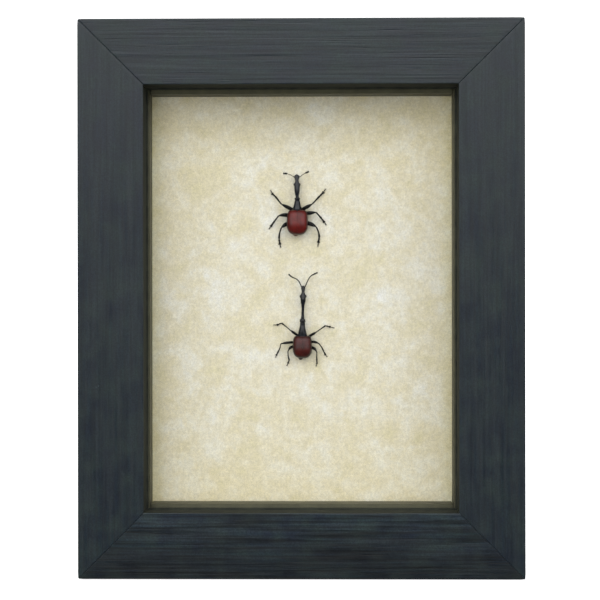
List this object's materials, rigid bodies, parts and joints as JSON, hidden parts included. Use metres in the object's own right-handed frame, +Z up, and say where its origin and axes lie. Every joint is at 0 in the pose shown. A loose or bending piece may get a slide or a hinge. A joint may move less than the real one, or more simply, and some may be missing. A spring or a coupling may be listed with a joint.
{
  "type": "framed giraffe weevil specimen",
  "caption": "Life-size spread giraffe weevils, male below female, on parchment board under glass in a mitred wooden shadow-box frame.",
  "frame": {"origin": "centre of the bounding box at its bottom, on the surface the frame stands on", "axes": "+Z up, -Y towards the glass and the viewer, +X to the viewer's right"},
  "size_m": [0.146, 0.03, 0.183],
  "materials": {
    "painted_wood": "satin slate-grey paint with the grain showing",
    "glass": "clear polished",
    "spacer_wood": "dark matt paint",
    "parchment": "mottled cream parchment paper",
    "cover_board": "plain brown board",
    "steel": "bright zinc",
    "black_cuticle": "black insect shell with a blue-grey satin sheen",
    "red_elytra": "glossy wine-red wing cases",
    "dark_abdomen": "dark red-brown insect shell",
    "eye_black": "glossy black compound eye"
  },
  "bodies": {
    "root": {"rail_bottom": "painted_wood", "rail_top": "painted_wood", "rail_left": "painted_wood", "rail_right": "painted_wood", "glass": "glass", "spacer_left": "spacer_wood", "spacer_right": "spacer_wood", "spacer_bottom": "spacer_wood", "spacer_top": "spacer_wood", "mount_board": "parchment", "dust_cover": "cover_board", "frame_point_left_low": "steel", "frame_point_left_high": "steel", "frame_point_right_low": "steel", "frame_point_right_high": "steel", "frame_point_bottom": "steel", "frame_point_top": "steel", "hanger": "steel", "male_prothorax": "black_cuticle", "male_neck": "black_cuticle", "male_scutellum": "black_cuticle", "male_metathorax": "black_cuticle", "male_head": "black_cuticle", "male_antenna_left": "black_cuticle", "male_antenna_right": "black_cuticle", "male_femur_front_left": "black_cuticle", "male_tibia_front_left": "black_cuticle", "male_tarsus_front_left": "black_cuticle", "male_femur_front_right": "black_cuticle", "male_tibia_front_right": "black_cuticle", "male_tarsus_front_right": "black_cuticle", "male_femur_middle_left": "black_cuticle", "male_tibia_middle_left": "black_cuticle", "male_tarsus_middle_left": "black_cuticle", "male_femur_middle_right": "black_cuticle", "male_tibia_middle_right": "black_cuticle", "male_tarsus_middle_right": "black_cuticle", "male_femur_hind_left": "black_cuticle", "male_tibia_hind_left": "black_cuticle", "male_tarsus_hind_left": "black_cuticle", "male_femur_hind_right": "black_cuticle", "male_tibia_hind_right": "black_cuticle", "male_tarsus_hind_right": "black_cuticle", "male_elytron_left": "red_elytra", "male_elytron_right": "red_elytra", "male_abdomen": "dark_abdomen", "male_eye_left": "eye_black", "male_eye_right": "eye_black", "female_weevil": "black_cuticle"}
  },
  "joints": []
}
